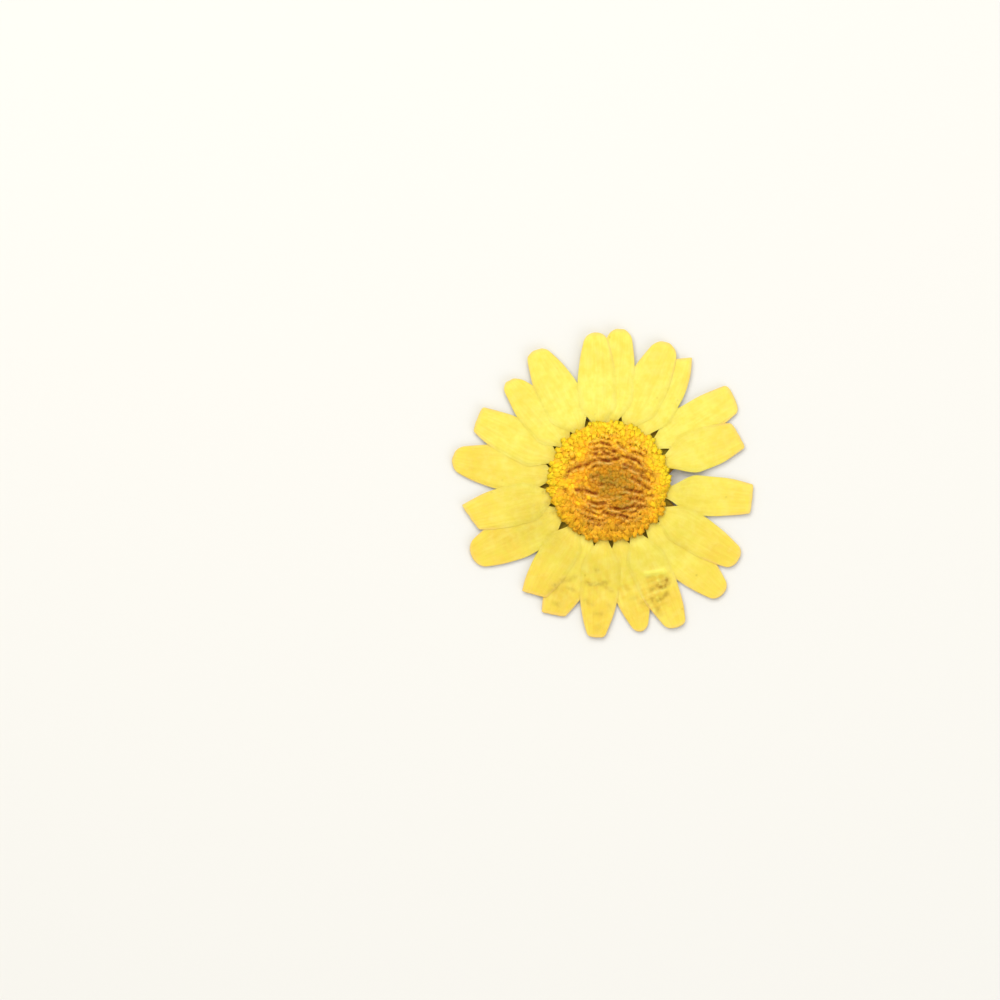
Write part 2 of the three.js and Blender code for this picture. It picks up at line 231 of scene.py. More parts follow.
# The receptacle's outline as (distance from the axis, height), from the scar out under the base and
# back over it.
RECEPTACLE_OUTLINE = (
    (0.12, 0.07), (0.3, 0.06), (0.5, 0.03), (0.66, 0.0), (0.8, 0.0), (0.95, 0.05), (1.3, 0.03),
    (1.8, 0.02), (2.3, 0.05), (2.7, 0.15), (2.85, 0.35), (2.7, 0.6), (2.2, 0.68), (1.0, 0.7),
    (0.2, 0.7),
)
RECEPTACLE_POLES = (0.07, 0.7)
RECEPTACLE_STEPS = 90
RECEPTACLE_COLUMNS = 144
UNDERSIDE_TO = 0.2  # its underside is all that lies lower than this

# The ring of the petals' bases: its radius, its height, half its section's width and height, how much
# each base swells, and its points round the section and round the axis.
BASES = {"radius": 3.9, "height": 1.2, "half": (0.42, 0.2), "swell": 0.22, "grid": (14, 240)}

# What differs from petal to petal, in the order of the draws: the waves of its sides, the teeth of its
# tip, how far its two grooves are off their places, and the phase, margins and waves of its relief.
PETAL_SPREAD = {
    "waves_along": (8, 14),
    "waves_phase": (0, 6),
    "fine_along": (18, 26),
    "fine_phase": (0, 6),
    "teeth": (0.004, 0.022),
    "teeth_phase": (0, 6),
    "left": (-0.06, 0.06),
    "right": (-0.06, 0.06),
    "phase": (0, 2 * np.pi),
    "curl": (-0.004, 0.008),
    "waves": (1.2, 2.2),
}
GROOVE = 0.36  # a groove's place between the middle of a petal and its side
CURL = 0.02  # how far the margins turn down
CREASE_WIDTH = 0.23
CREASE_DROP = 0.03  # how far the strongest crease sinks
CRUMPLE_RISE = 0.05  # how far a crumple of strength 1 rises and sinks

# The swell of all petals: height of each wave, and its waves per millimetre along X and Y, and phase.
SWELLS = ((0.030, 0.11, 0.05, 0.6), (0.025, -0.06, 0.16, 2.1), (0.015, 0.15, 0.19, 4.0))

# Across the disc's wrinkles: how wide a trough, a halo and the two lips fade, and the lips' places.
TROUGH_WIDTH = 0.14
HALO_WIDTH = 0.34
LIP_OFFSET = 0.24
LIP_WIDTH = 0.11
ROUND_LIP_WIDTH = 0.1
RIPPLE = 0.48  # the distance between two ripples
RIPPLE_STRETCH = 1.7  # how much longer than wide their rings are

# The stage, in metres: the floor's half side, the picture's middle left of the axis and below it, and
# the lamps as (name, place, size, power, colour).
FLOOR_HALF = 1.5
PICTURE_MIDDLE = (-9.28 * MM, -1.59 * MM)
SENSOR = 36  # width of the camera's sensor, in millimetres
CAMERA_RISE = 1 * MM  # the picture's width is measured this high, about at the petals
LAMPS = (
    ("window_side_box", (-0.06, 0.15, 0.4), 0.4, 2.0, "#FFFDF6"),
    ("fill_box", (0.24, -0.22, 0.26), 0.3, 0.38, "#F6F8FF"),
)


def linear(colour_hex):
    """An sRGB hex colour as linear red, green, blue and full alpha."""
    channels = np.array([int(colour_hex[i : i + 2], 16) for i in (1, 3, 5)]) / 255
    curve = np.where(channels <= 0.04045, channels / 12.92, ((channels + 0.055) / 1.055) ** 2.4)
    return (*curve.tolist(), 1.0)


def smoothstep(value, low, high):
    """0 below low, 1 above high, and the S curve 3t^2 - 2t^3 between them."""
    t = np.clip((value - low) / (high - low), 0, 1)
    return t * t * (3 - 2 * t)


def bell(distance, width):
    """1 on a line or at a point, fading as exp(-(distance / width)^2) beside it."""
    return np.exp(-((distance / width) ** 2))


def rotated(u, v, angle):
    """Two coordinates turned together by an angle in radians."""
    return u * np.cos(angle) - v * np.sin(angle), u * np.sin(angle) + v * np.cos(angle)


def direction(degrees):
    """The unit vector in the XY plane at an angle."""
    return np.array([np.cos(np.radians(degrees)), np.sin(np.radians(degrees))])


def set_inputs(tree, node, inputs):
    """Gives each socket of a node a number, a colour in hex, or the output that is linked to it."""
    for socket, value in inputs.items():
        if isinstance(value, bpy.types.NodeSocket):
            tree.links.new(value, node.inputs[socket])
        else:
            node.inputs[socket].default_value = linear(value) if isinstance(value, str) else value


def add_node(tree, kind, settings=None, inputs=None):
    """Adds one shader node with its own properties and its inputs."""
    node = tree.nodes.new(kind)
    for key, value in (settings or {}).items():
        setattr(node, key, value)
    set_inputs(tree, node, inputs or {})
    return node


def new_material(name):
    """An empty node material, with its tree, its surface shader and Object coordinates."""
    material = bpy.data.materials.new(name)
    material.use_nodes = True
    tree = material.node_tree
    tree.nodes.clear()
    shader = add_node(tree, "ShaderNodeBsdfPrincipled")
    add_node(tree, "ShaderNodeOutputMaterial", inputs={"Surface": shader.outputs["BSDF"]})
    place = add_node(tree, "ShaderNodeTexCoord").outputs["Object"]
    return material, tree, shader, place


def attribute(tree, name):
    """The output of a number that the mesh holds at each point."""
    return add_node(tree, "ShaderNodeAttribute", {"attribute_name": name}).outputs["Fac"]


def noise(tree, place, size, detail, unit=MM):
    """Noise from 0 to 1 in clumps of a size in millimetres. unit is a millimetre in place's units."""
    inputs = {"Vector": place, "Scale": 1 / (size * unit), "Detail": detail}
    return add_node(tree, "ShaderNodeTexNoise", inputs=inputs).outputs["Fac"]


def streaks(tree, across, along):
    """Noise drawn out lengthwise, with so many streaks to a millimetre across and along the map."""
    uv = add_node(tree, "ShaderNodeUVMap", {"uv_map": "UVMap"}).outputs["UV"]
    inputs = {"Vector": uv, "Scale": (across, along, 1.0)}
    stretched = add_node(tree, "ShaderNodeMapping", inputs=inputs).outputs[0]
    return noise(tree, stretched, 1.0, 3.0, unit=1)


def ranged(tree, value, start, end, least=0.0, most=1.0):
    """What goes evenly from least to most as value goes from start to end, and stays there beyond."""
    inputs = {"Value": value, "From Min": start, "From Max": end, "To Min": least, "To Max": most}
    return add_node(tree, "ShaderNodeMapRange", inputs=inputs).outputs["Result"]


def worked_out(tree, operation, *numbers):
    """The result of a Math node."""
    node = add_node(tree, "ShaderNodeMath", {"operation": operation}, dict(enumerate(numbers)))
    return node.outputs[0]


def ramp(tree, factor, *stops):
    """The colour that factor picks from a ramp of (place, hex) stops."""
    node = add_node(tree, "ShaderNodeValToRGB", inputs={"Fac": factor})
    for _ in stops[2:]:
        node.color_ramp.elements.new(1.0)
    for element, (place, colour_hex) in zip(node.color_ramp.elements, stops):
        element.position = place
        element.color = linear(colour_hex)
    return node.outputs["Color"]


def mixed(tree, factor, first, second):
    """The colour that goes from first to second as factor goes from 0 to 1."""
    inputs = {0: factor, 6: first, 7: second}
    return add_node(tree, "ShaderNodeMix", {"data_type": "RGBA"}, inputs).outputs[2]


def bumped(tree, height, strength, distance):
    """The normal of a bump, with its distance in millimetres."""
    inputs = {"Height": height, "Strength": strength, "Distance": distance * MM}
    return add_node(tree, "ShaderNodeBump", inputs=inputs).outputs["Normal"]


def sheet_points(x, y, top, bottom):
    """A thin closed sheet over one plan grid: the points of its upper face, then of its lower face,
    and its quads, with a strip round the edge that joins the two faces."""
    rows, columns = x.shape
    count = rows * columns
    index = np.arange(count).reshape(rows, columns)
    points = np.concatenate([np.stack([x, y, z], -1).reshape(-1, 3) for z in (top, bottom)])
    corners = (index[:-1, :-1], index[1:, :-1], index[1:, 1:], index[:-1, 1:])
    upper = np.stack(corners, -1).reshape(-1, 4)
    lower = upper[:, ::-1] + count
    rim = np.concatenate([index[0], index[1:, -1], index[-1, -2::-1], index[-2:0:-1, 0]])
    onward = np.roll(rim, -1)
    edge = np.stack([rim, onward, onward + count, rim + count], -1)
    return points, np.concatenate([upper, lower, edge])


def wrapped_faces(rows, columns):
    """Quads of a grid whose columns close on themselves, and the triangles of the two poles, whose
    points come after the grid's: the one below the first row, then the one above the last."""
    index = np.arange(rows * columns).reshape(rows, columns)
    onward = np.roll(index, -1, axis=1)
    quads = np.stack([index[:-1], onward[:-1], onward[1:], index[1:]], -1).reshape(-1, 4)
    below = np.full(columns, rows * columns)
    bottom = np.stack([onward[0], index[0], below], -1)
    top = np.stack([index[-1], onward[-1], below + 1], -1)
    return quads, np.concatenate([bottom, top])


def make_piece(name, points, quads, triangles, material, node, values=None, uv=None):
    """One finished piece: a smooth mesh from points in millimetres, with a number for each point for
    every name in values, that rides on the body and stands for a CAD node."""
    mesh = bpy.data.meshes.new(name)
    corners = np.concatenate([quads.ravel(), triangles.ravel()]).astype(np.int32)
    sizes = np.repeat([4, 3], [len(quads), len(triangles)])
    starts = np.concatenate([[0], np.cumsum(sizes)[:-1]]).astype(np.int32)
    mesh.vertices.add(len(points))
    mesh.vertices.foreach_set("co", (points * MM).astype(np.float32).ravel())
    mesh.loops.add(len(corners))
    mesh.loops.foreach_set("vertex_index", corners)
    mesh.polygons.add(len(starts))
    mesh.polygons.foreach_set("loop_start", starts)
    mesh.polygons.foreach_set("use_smooth", np.ones(len(starts), dtype=bool))
    for key, numbers in (values or {}).items():
        layer = mesh.attributes.new(key, "FLOAT", "POINT")
        layer.data.foreach_set("value", np.asarray(numbers, dtype=np.float32).ravel())
    if uv is not None:
        layer = mesh.uv_layers.new(name="UVMap")
        layer.data.foreach_set("uv", uv[corners].astype(np.float32).ravel())
    mesh.update(calc_edges=True)
    if mesh.validate():
        raise RuntimeError(f"{name} has faces that Blender had to mend")
    mesh.materials.append(material)
    piece = bpy.data.objects.new(name, mesh)
    bpy.context.scene.collection.objects.link(piece)
    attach(piece, BODY)
    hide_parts(node)
    return piece


NO_TRIANGLES = np.zeros((0, 3), dtype=np.int32)


def full_turn(count):
    """So many even steps once round the axis."""
    return np.linspace(0, 2 * np.pi, count, endpoint=False)


def sheet_grid(rows, columns):
    """The places on a sheet: along runs from 0 at its root to 1 at its tip, and across from -1 to 1,
    as the sine of even steps, so the points lie closer towards the two sides."""
    across = np.sin(np.linspace(-np.pi / 2, np.pi / 2, columns))
    return np.meshgrid(np.linspace(0, 1, rows), across, indexing="ij")


def make_turned(name, x, y, height, poles, material, node, values):
    """A piece turned round the axis, from the grid of its points and the heights of its two poles.
    values gives each name its numbers on the grid, then those at the poles."""
    points = np.stack([x, y, height], -1).reshape(-1, 3)
    quads, triangles = wrapped_faces(*x.shape)
    return make_piece(
        name,
        np.concatenate([points, [(0, 0, pole) for pole in poles]]),
        quads,
        triangles,
        material,
        node,
        {key: np.concatenate([grid.ravel(), ends]) for key, (grid, ends) in values.items()},
    )


def swell(x, y):
    """The slow unevenness that all pressed petals share, in millimetres: three crossing waves of 4 to
    8 mm, so that sheets that lie on each other rise and fall together."""
    return sum(
        height * np.sin(2 * np.pi * (x * along_x + y * along_y) + phase)
        for height, along_x, along_y, phase in SWELLS
    )


def rounded(path):
    """A path with its corners rounded: twice, each corner is cut a quarter of the way along the two
    stretches that meet there, and the ends stay."""
    path = np.array(path, dtype=float)
    for _ in range(2):
        cuts = np.stack([0.75 * path[:-1] + 0.25 * path[1:], 0.25 * path[:-1] + 0.75 * path[1:]], 1)
        path = np.concatenate([path[:1], cuts.reshape(-1, 2)[1:-1], path[-1:]])
    return path


def distance_to_path(x, y, path):
    """Distance in plan from each point to a rounded path: the shortest of the distances to its
    stretches, each measured from the nearest place between the stretch's two ends."""
    path = rounded(path)
    shortest = np.full(np.shape(x), np.inf)
    for start, run in zip(path[:-1], np.diff(path, axis=0)):
        along = np.clip(((x - start[0]) * run[0] + (y - start[1]) * run[1]) / (run @ run), 0, 1)
        off = np.hypot(x - start[0] - along * run[0], y - start[1] - along * run[1])
        shortest = np.minimum(shortest, off)
    return shortest


def strongest_spot(x, y, spots):
    """The strongest of some round spots at each point, each fading as exp(-(distance / radius)^2)."""
    shades = [strength * np.exp(-(((x - u) ** 2 + (y - v) ** 2) / r**2)) for u, v, r, strength in spots]
    return np.max(shades, axis=0)


def crumple_noise(x, y):
    """Small crumples from -1 to 1: six sine waves 0.4 to 0.9 mm long that run in all directions."""
    rng = np.random.default_rng(21)
    total = 0 * x
    for _ in range(6):
        wave = 2 * np.pi / rng.uniform(0.4, 0.9) * direction(rng.uniform(0, 180))
        total = total + np.sin(x * wave[0] + y * wave[1] + rng.uniform(0, 6))
    return total / 6


def petal_plan(petal, along, across, own):
    """Where a petal's points lie, seen from above. The axis runs from the root to the tip, each cross
    line is the petal's half width there times across, and the end falls back towards the corners by
    round * (1 - (1 - |across|^square)^(1 / square)), with small uneven teeth."""
    root = ROOT_RADIUS * direction(petal["root"])
    axis = petal["reach"] * direction(petal["tip"]) - root
    length = np.hypot(*axis)
    axis = axis / length
    widening = ROOT_SHARE + (1 - ROOT_SHARE) * smoothstep(along, WIDENS_FROM, petal["full"])
    closing = np.clip((along - NARROWS_FROM) / (1 - NARROWS_FROM), 0, 1) ** 2
    half = petal["half"] * widening * (1 - (1 - petal["share"]) * closing)
    ripple = np.sin(along * own["waves_along"] + own["waves_phase"])
    ripple = ripple + 0.6 * np.sin(along * own["fine_along"] + own["fine_phase"])
    half = half * (1 + 0.012 * ripple * np.sign(across) * smoothstep(along, 0.3, 0.6))
    square = petal["square"]
    fallen = 1 - (1 - np.abs(across) ** square) ** (1 / square)
    teeth = np.cos(3 * np.pi * across + own["teeth_phase"])
    teeth = teeth + 0.5 * np.cos(7 * across + own["waves_phase"])
    teeth = own["teeth"] * teeth * (1 - across**2)
    end = length - petal["round"] * fallen + petal["slant"] * across + teeth * along**6
    x = root[0] + axis[0] * along * end - axis[1] * half * across
    y = root[1] + axis[1] * along * end + axis[0] * half * across
    return x, y, half


def fold_height(x, y):
    """Height of the folds in millimetres: each stands height * exp(-(d / width)^2) over the distance d
    from its path."""
    return sum(height * bell(distance_to_path(x, y, path), width) for path, height, width in FOLDS)


def crease_depth(x, y):
    """How deep each point lies in a crease, from 0 to 1: strength * exp(-(d / CREASE_WIDTH)^2)
    over the distance d from its path, a little uneven."""
    uneven = crumple_noise(y, x)
    lines = [
        strength * bell(distance_to_path(x, y, path) + 0.1 * uneven, CREASE_WIDTH)
        for path, strength in CREASES
    ]
    return np.max(lines, axis=0)


def petal_relief(x, y, along, across, own):
    """A petal's own relief in millimetres: two lengthwise grooves a third of the way in from the
    sides, finer veins that run with them, margins that turn down onto what lies below, and the folds,
    creases and crumples."""
    shown = smoothstep(along, 0.05, 0.3)
    places = (-GROOVE + own["left"], GROOVE + own["right"])
    grooves = -0.016 * sum(bell(across - place, 0.09) for place in places)
    veins = 0.004 * np.cos(2 * np.pi * 5.5 * across + own["phase"])
    fine = 0.002 * np.cos(2 * np.pi * 15 * across + 3 * own["phase"] + 2 * along)
    curl = (own["curl"] - CURL) * smoothstep(np.abs(across), 0.78, 1.0)
    crease = 0.006 * np.sin(2 * np.pi * (along * own["waves"] + 0.3 * across) + own["phase"])
    relief = (grooves + veins + fine + curl + crease) * shown + fold_height(x, y)
    relief = relief - CREASE_DROP * crease_depth(x, y)
    return relief + CRUMPLE_RISE * strongest_spot(x, y, CRUMPLES) * crumple_noise(x, y)


def length_setting(name, description, millimetres):
    """A length that a user may change, shown in small enough steps."""
    return FloatProperty(
        name=name, description=description, default=millimetres * MM, precision=6, unit="LENGTH"
    )


def colour_setting(name, description, colour_hex):
    """A colour that a user may change."""
    return FloatVectorProperty(
        name=name, description=description, subtype="COLOR", size=4, default=linear(colour_hex)
    )


def seed_setting(differing, default):
    """The seed for the small differences between like things."""
    description = f"Picks the small differences between the {differing}"
    return IntProperty(name="Seed", description=description, default=default, min=0)


class DaisyPetals(bpy.types.PropertyGroup):
    """What a user may change on the ray petals."""

    thickness: length_setting("Thickness", "Thickness of a dried petal at its middle", 0.05)
    layer_step: length_setting("Layer Step", "Height from one layer of petals to the next", 0.075)
    seed: seed_setting("petals", 11)
    lemon: colour_setting("Lemon", "Colour of the brightest petals", "#ECDE5D")
    deep: colour_setting("Deep Yellow", "Colour of the petals that have aged most", "#E2BF3A")


class DaisyDisc(bpy.types.PropertyGroup):
    """What a user may change on the disc."""

    radius: length_setting("Radius", "Distance from the axis to the outermost florets' roots", 4.87)
    florets: IntProperty(
        name="Florets",
        description="How many tubular florets cover the disc",
        default=850,
        min=50,
        max=1200,
    )
    seed: seed_setting("florets", 5)


class DaisyBase(bpy.types.PropertyGroup):
    """What a user may change on the green base."""

    thickness: length_setting("Bract Thickness", "Thickness of a dried bract at its midrib", 0.1)
    green: colour_setting("Bract Green", "Colour of the bracts along their middle", "#A8982E")
    seed: seed_setting("bracts", 3)


class DaisyStage(bpy.types.PropertyGroup):
    """What a user may change on the stage."""

    view_width: length_setting("View Width", "Width that the picture covers at the flower", 85.47)
    distance: length_setting("Camera Distance", "How high over the flower the camera stands", 320)
    floor: colour_setting("Floor", "Colour of the pale floor", "#DFDEDB")


def petal_material(settings):
    """Dried ray floret: thin, papery and matte, pressed flat. Yellow pigment dries uneven, so the colour
    goes from lemon to a deeper yellow in soft patches and fine lengthwise streaks, the margins at the
    tips are peach where the sheet is thinnest, and a few olive flecks and stains mark bruises. Painted
    light is in the colour too: the tone deepens the yellow as painted shade on the petals towards -Y and
    over the crumples, and pales it along the fold's crest as a painted highlight. The olive in the
    creases is partly painted shade, and four broad patches beside the disc are painted shade."""
    material, tree, shader, place = new_material("dried_yellow_petal")
    streak = streaks(tree, 4.0, 0.25)
    patch = noise(tree, place, 1.6, 3.0)
    grain = noise(tree, place, 0.12, 2.0)
    mottle = noise(tree, place, 0.7, 3.0)
    # How deep the yellow is there, from the tone, the patches and the streaks. The tone is partly the
    # petal's own colour and partly painted shade and a painted highlight.
    patched = worked_out(tree, "MULTIPLY_ADD", patch, 0.9, attribute(tree, "tone"))
    streaked = worked_out(tree, "MULTIPLY_ADD", streak, 0.7, patched)
    deepening = ranged(tree, streaked, 0.8, 1.65)
    deepened = mixed(tree, deepening, tuple(settings.lemon), tuple(settings.deep))
    # The pigment is a little thinner in mottles under a millimetre wide, and thicker between them.
    paled = mixed(tree, ranged(tree, mottle, 0.5, 0.7, most=0.14), deepened, "#F2E88C")
    yellow = mixed(tree, ranged(tree, mottle, 0.52, 0.3, most=0.5), paled, "#E0CA38")
    # Small olive flecks about 0.2 mm across, one to each cell of 1.5 mm where the patches are high.
    inputs = {"Vector": place, "Scale": 1 / (1.5 * MM)}
    cells = add_node(tree, "ShaderNodeTexVoronoi", {"feature": "F1"}, inputs)
    fleck = ranged(tree, cells.outputs["Distance"], 0.1, 0.03)
    chosen = ranged(tree, patch, 0.46, 0.58, most=0.5)
    flecked = worked_out(tree, "MULTIPLY", fleck, chosen)
    # The stains, and the painted shade in the creases and beside the disc, are blotchy: they take where
    # a fine noise is high.
    blotched = ranged(tree, noise(tree, place, 0.3, 2.0), 0.36, 0.62, least=0.5)
    stained_and_shaded = worked_out(tree, "MULTIPLY", attribute(tree, "stain_and_shade"), blotched)
    spotted = mixed(tree, worked_out(tree, "MAXIMUM", flecked, stained_and_shaded), yellow, "#A07D00")
    coloured = mixed(tree, attribute(tree, "margin"), spotted, "#F4BA78")
    rough = worked_out(tree, "MULTIPLY_ADD", grain, 0.5, streak)
    look = {
        "Base Color": coloured,
        "Normal": bumped(tree, rough, 0.35, 0.02),
        "Roughness": 0.62,
        "Sheen Weight": 0.12,
        "Subsurface Weight": 0.3,
        "Subsurface Radius": (1.0, 0.85, 0.3),
        "Subsurface Scale": 0.2 * MM,
        "Specular IOR Level": 0.35,
    }
    set_inputs(tree, shader, look)
    return material


def floret_material():
    """Dried tubular floret: waxy gold at the open rim, orange brown further in where it has shrunk, and
    olive at the buds in the middle. Light is painted into the colour too: dark brown shade down in the
    troughs and between the tubes, a browner halo of shade round each trough, more orange shade towards
    -Y, and a peach highlight on the lips of the wrinkles."""
    material, tree, shader, place = new_material("dried_disc_floret")
    lowered = worked_out(tree, "SUBTRACT", attribute(tree, "ripeness"), 0.4)
    mottled = worked_out(tree, "MULTIPLY_ADD", noise(tree, place, 0.7, 2.0), 0.82, lowered)
    colour = ramp(
        tree,
        mottled,
        (0.05, "#A0801A"),
        (0.3, "#C8880E"),
        (0.48, "#DE9E14"),
        (0.64, "#F2B01A"),
        (0.8, "#FFC418"),
        (1.0, "#FFD824"),
    )
    grain = noise(tree, place, 0.2, 3.0)
    dusted = mixed(tree, ranged(tree, grain, 0.4, 0.7, most=0.22), colour, "#EC9610")
    # Painted highlight: peach on the lips of the wrinkles.
    highlighted_lips = mixed(tree, attribute(tree, "lip"), dusted, "#FFCA70")
    # Painted shade: darker gold at the roots between the tubes and in their throats.
    shaded = mixed(tree, attribute(tree, "dark"), highlighted_lips, "#BE8A0C")
    look = {
        # Painted shade: dark brown in the troughs of the wrinkles.
        "Base Color": mixed(tree, attribute(tree, "trough"), shaded, PAINTED_TROUGH_SHADE),
        "Normal": bumped(tree, grain, 0.3, 0.03),
        "Roughness": 0.68,
        "Specular IOR Level": 0.22,
        "Subsurface Weight": 0.35,
        "Subsurface Radius": (1.0, 0.6, 0.15),
        "Subsurface Scale": 0.15 * MM,
    }
    set_inputs(tree, shader, look)
    return material


def core_material():
    """The receptacle under the florets: pithy, dry and orange brown, seen only in the gaps. The troughs
    of its wrinkles are darkened to brown as painted shade.
    """
    material, tree, shader, place = new_material("dry_pith")
    grain = noise(tree, place, 0.2, 4.0)
    reach = attribute(tree, "reach")
    colour = ramp(tree, reach, (0.1, "#A88420"), (0.5, "#DC9214"), (1.0, "#FAC022"))
    grained = mixed(tree, ranged(tree, grain, 0.4, 0.7, most=0.5), colour, "#B8700C")
    look = {
        # Painted shade: dark brown in the troughs of the wrinkles.
        "Base Color": mixed(tree, attribute(tree, "trough"), grained, PAINTED_TROUGH_SHADE),
        "Normal": bumped(tree, grain, 0.6, 0.05),
        "Roughness": 0.85,
    }
    set_inputs(tree, shader, look)
    return material


def bract_material(settings):
    """Dried bract: leathery olive green with a darker midrib, browned papery margins and fine
    lengthwise fibres."""
    material, tree, shader, place = new_material("dried_green_bract")
    fibre = streaks(tree, 8.0, 0.5)
    browned = ranged(tree, noise(tree, place, 0.9, 3.0), 0.4, 0.7, most=0.7)
    green = mixed(tree, browned, tuple(settings.green), "#B88C22")
    ribbed = mixed(tree, attribute(tree, "midrib"), green, "#74681A")
    dry = mixed(tree, attribute(tree, "margin"), ribbed, "#98701E")
    look = {
        "Base Color": mixed(tree, ranged(tree, fibre, 0.35, 0.65, most=0.35), dry, "#6E5412"),
        "Normal": bumped(tree, fibre, 0.5, 0.03),
        "Roughness": 0.8,
        "Specular IOR Level": 0.2,
    }
    set_inputs(tree, shader, look)
    return material


def receptacle_material():
    """The underside of the head: dry green skin going brown round the torn scar of the stalk, whose
    fibres are pale and straw-like."""
    material, tree, shader, place = new_material("dried_receptacle")
    grain = noise(tree, place, 0.3, 4.0)
    skin = ramp(tree, grain, (0.3, "#5C5A28"), (0.55, "#6E6C32"), (0.75, "#8A7440"))
    look = {
        "Base Color": mixed(tree, attribute(tree, "scar"), skin, "#C2A66A"),
        "Normal": bumped(tree, grain, 0.5, 0.05),
        "Roughness": 0.8,
    }
    set_inputs(tree, shader, look)
    return material


class DAISY_OT_ray_petals(bpy.types.Operator):
    """Lays the twenty ray petals round the disc, each a thin closed sheet of its own"""

    bl_idname = "daisy.ray_petals"
    bl_label = "Ray Petals"

    def execute(self, context):
        settings = context.scene.daisy_petals
        rng = np.random.default_rng(settings.seed)
        material = petal_material(settings)
        along, across = sheet_grid(*PETAL_GRID)
        for number, (petal, deeper) in enumerate(zip(PETALS, DEEPER), 1):
            own = {key: rng.uniform(*span) for key, span in PETAL_SPREAD.items()}
            x, y, half = petal_plan(petal, along, across, own)
            radius = np.hypot(x, y)
            layer = settings.layer_step / MM * petal["layer"] * smoothstep(radius, *LAYERS_PART)
            fall = (PETAL_HIGH - PETAL_LOW) * smoothstep(radius, *FALL)
            middle = PETAL_HIGH - fall + layer + swell(x, y) * smoothstep(radius, 4.5, 6.5)
            middle = middle + petal_relief(x, y, along, across, own)
            inside = (1 - np.abs(across)) * half
            edge = np.minimum(inside, (1 - along) * (petal["reach"] - ROOT_RADIUS))
            sheet = settings.thickness / MM * (0.4 + 0.6 * smoothstep(edge, 0, 0.6))
            points, quads = sheet_points(x, y, middle + sheet / 2, middle - sheet / 2)
            crumpled = strongest_spot(x, y, CRUMPLES)
            # The tone rises towards -Y as painted shade on the petals away from the light above. Its
            # random part, the deeper outer ends and each petal's own share are the petals' own colour.
            tone = 0.3 - 0.25 * y / petal["reach"] + rng.uniform(-0.1, 0.1)
            tone = tone + 0.2 * smoothstep(radius, 8.0, 12.0) + deeper
            margin = (1 - smoothstep(edge, 0.03, 0.36)) * smoothstep(radius, 9.0, 12.0)
            # Painted shade: over the crumples the yellow deepens with their relief.
            uneven = 0.7 * crumpled * (0.2 + crumple_noise(x, y))
            values = {
                # Painted highlight: the tone falls along the fold's crest, paling it towards lemon.
                "tone": tone + uneven - 9 * fold_height(x, y),
                "margin": 0.45 * margin,
                # The stains, with the creases' olive, which is partly painted shade, and the painted
                # shade beside the disc.
                "stain_and_shade": np.maximum(strongest_spot(x, y, STAINS_AND_SHADE), crease_depth(x, y)),
            }
            uv = np.stack([across * petal["half"] + 5 * number, along * petal["reach"]], -1)
            make_piece(
                f"ray_petal_{number:02d}",
                points,
                quads,
                NO_TRIANGLES,
                material,
                "ray_petals",
                {key: np.tile(numbers.ravel(), 2) for key, numbers in values.items()},
                np.tile(uv.reshape(-1, 2), (2, 1)),
            )
        return {"FINISHED"}


class DAISY_OT_petal_bases(bpy.types.Operator):
    """Makes the ring of swollen bases that holds the petals together under the disc"""

    bl_idname = "daisy.petal_bases"
    bl_label = "Petal Bases"

    def execute(self, context):
        around, turn = np.meshgrid(*map(full_turn, BASES["grid"]), indexing="ij")
        swollen = 1 + BASES["swell"] * np.cos(len(PETALS) * turn)
        radius = BASES["radius"] + BASES["half"][0] * np.cos(around) * swollen
        height = BASES["height"] + BASES["half"][1] * np.sin(around) * swollen
        points = np.stack([radius * np.cos(turn), radius * np.sin(turn), height], -1)
        index = np.arange(points[..., 0].size).reshape(around.shape)
        across, onward = np.roll(index, -1, axis=0), np.roll(index, -1, axis=1)
        corner = np.roll(across, -1, axis=1)
        quads = np.stack([index, onward, corner, across], -1).reshape(-1, 4)
        make_piece(
            "petal_bases",
            points.reshape(-1, 3),
            quads,
            NO_TRIANGLES,
            bpy.data.materials["dried_green_bract"],
            "ray_petals",
            {"midrib": 0 * height, "margin": 0.6 + 0 * height},
            np.stack([turn * 4, around], -1).reshape(-1, 2),
        )
        return {"FINISHED"}


def ripples(x, y):
    """The finer ripples between the wrinkles, from -1 to 1: waves RIPPLE apart that run round the
    disc's middle as flattened rings, each at a steady sqrt((x / RIPPLE_STRETCH)^2 + y^2), bent by slow
    sines, broken up, strongest 1.8 to 3.7 mm from the axis and gone at the left and right sides."""
    bent = np.hypot(x / RIPPLE_STRETCH, y) + 0.1 * np.sin(2.1 * x + 0.7)
    bent = bent + 0.06 * np.sin(4.3 * x + 1.9 * y + 1)
    radius = np.hypot(x, y)
    ring = smoothstep(radius, 0.9, 1.8) * (1 - smoothstep(radius, 3.7, 4.7))
    broken = smoothstep(np.sin(1.9 * x - 1.3 * y + 1.1 * np.sin(2.2 * y + 0.4)), -0.8, 0.4)
    broken = broken * smoothstep(np.abs(y) / (radius + 0.1), 0.3, 0.65)
    return ring * broken * np.sin(2 * np.pi * bent / RIPPLE)


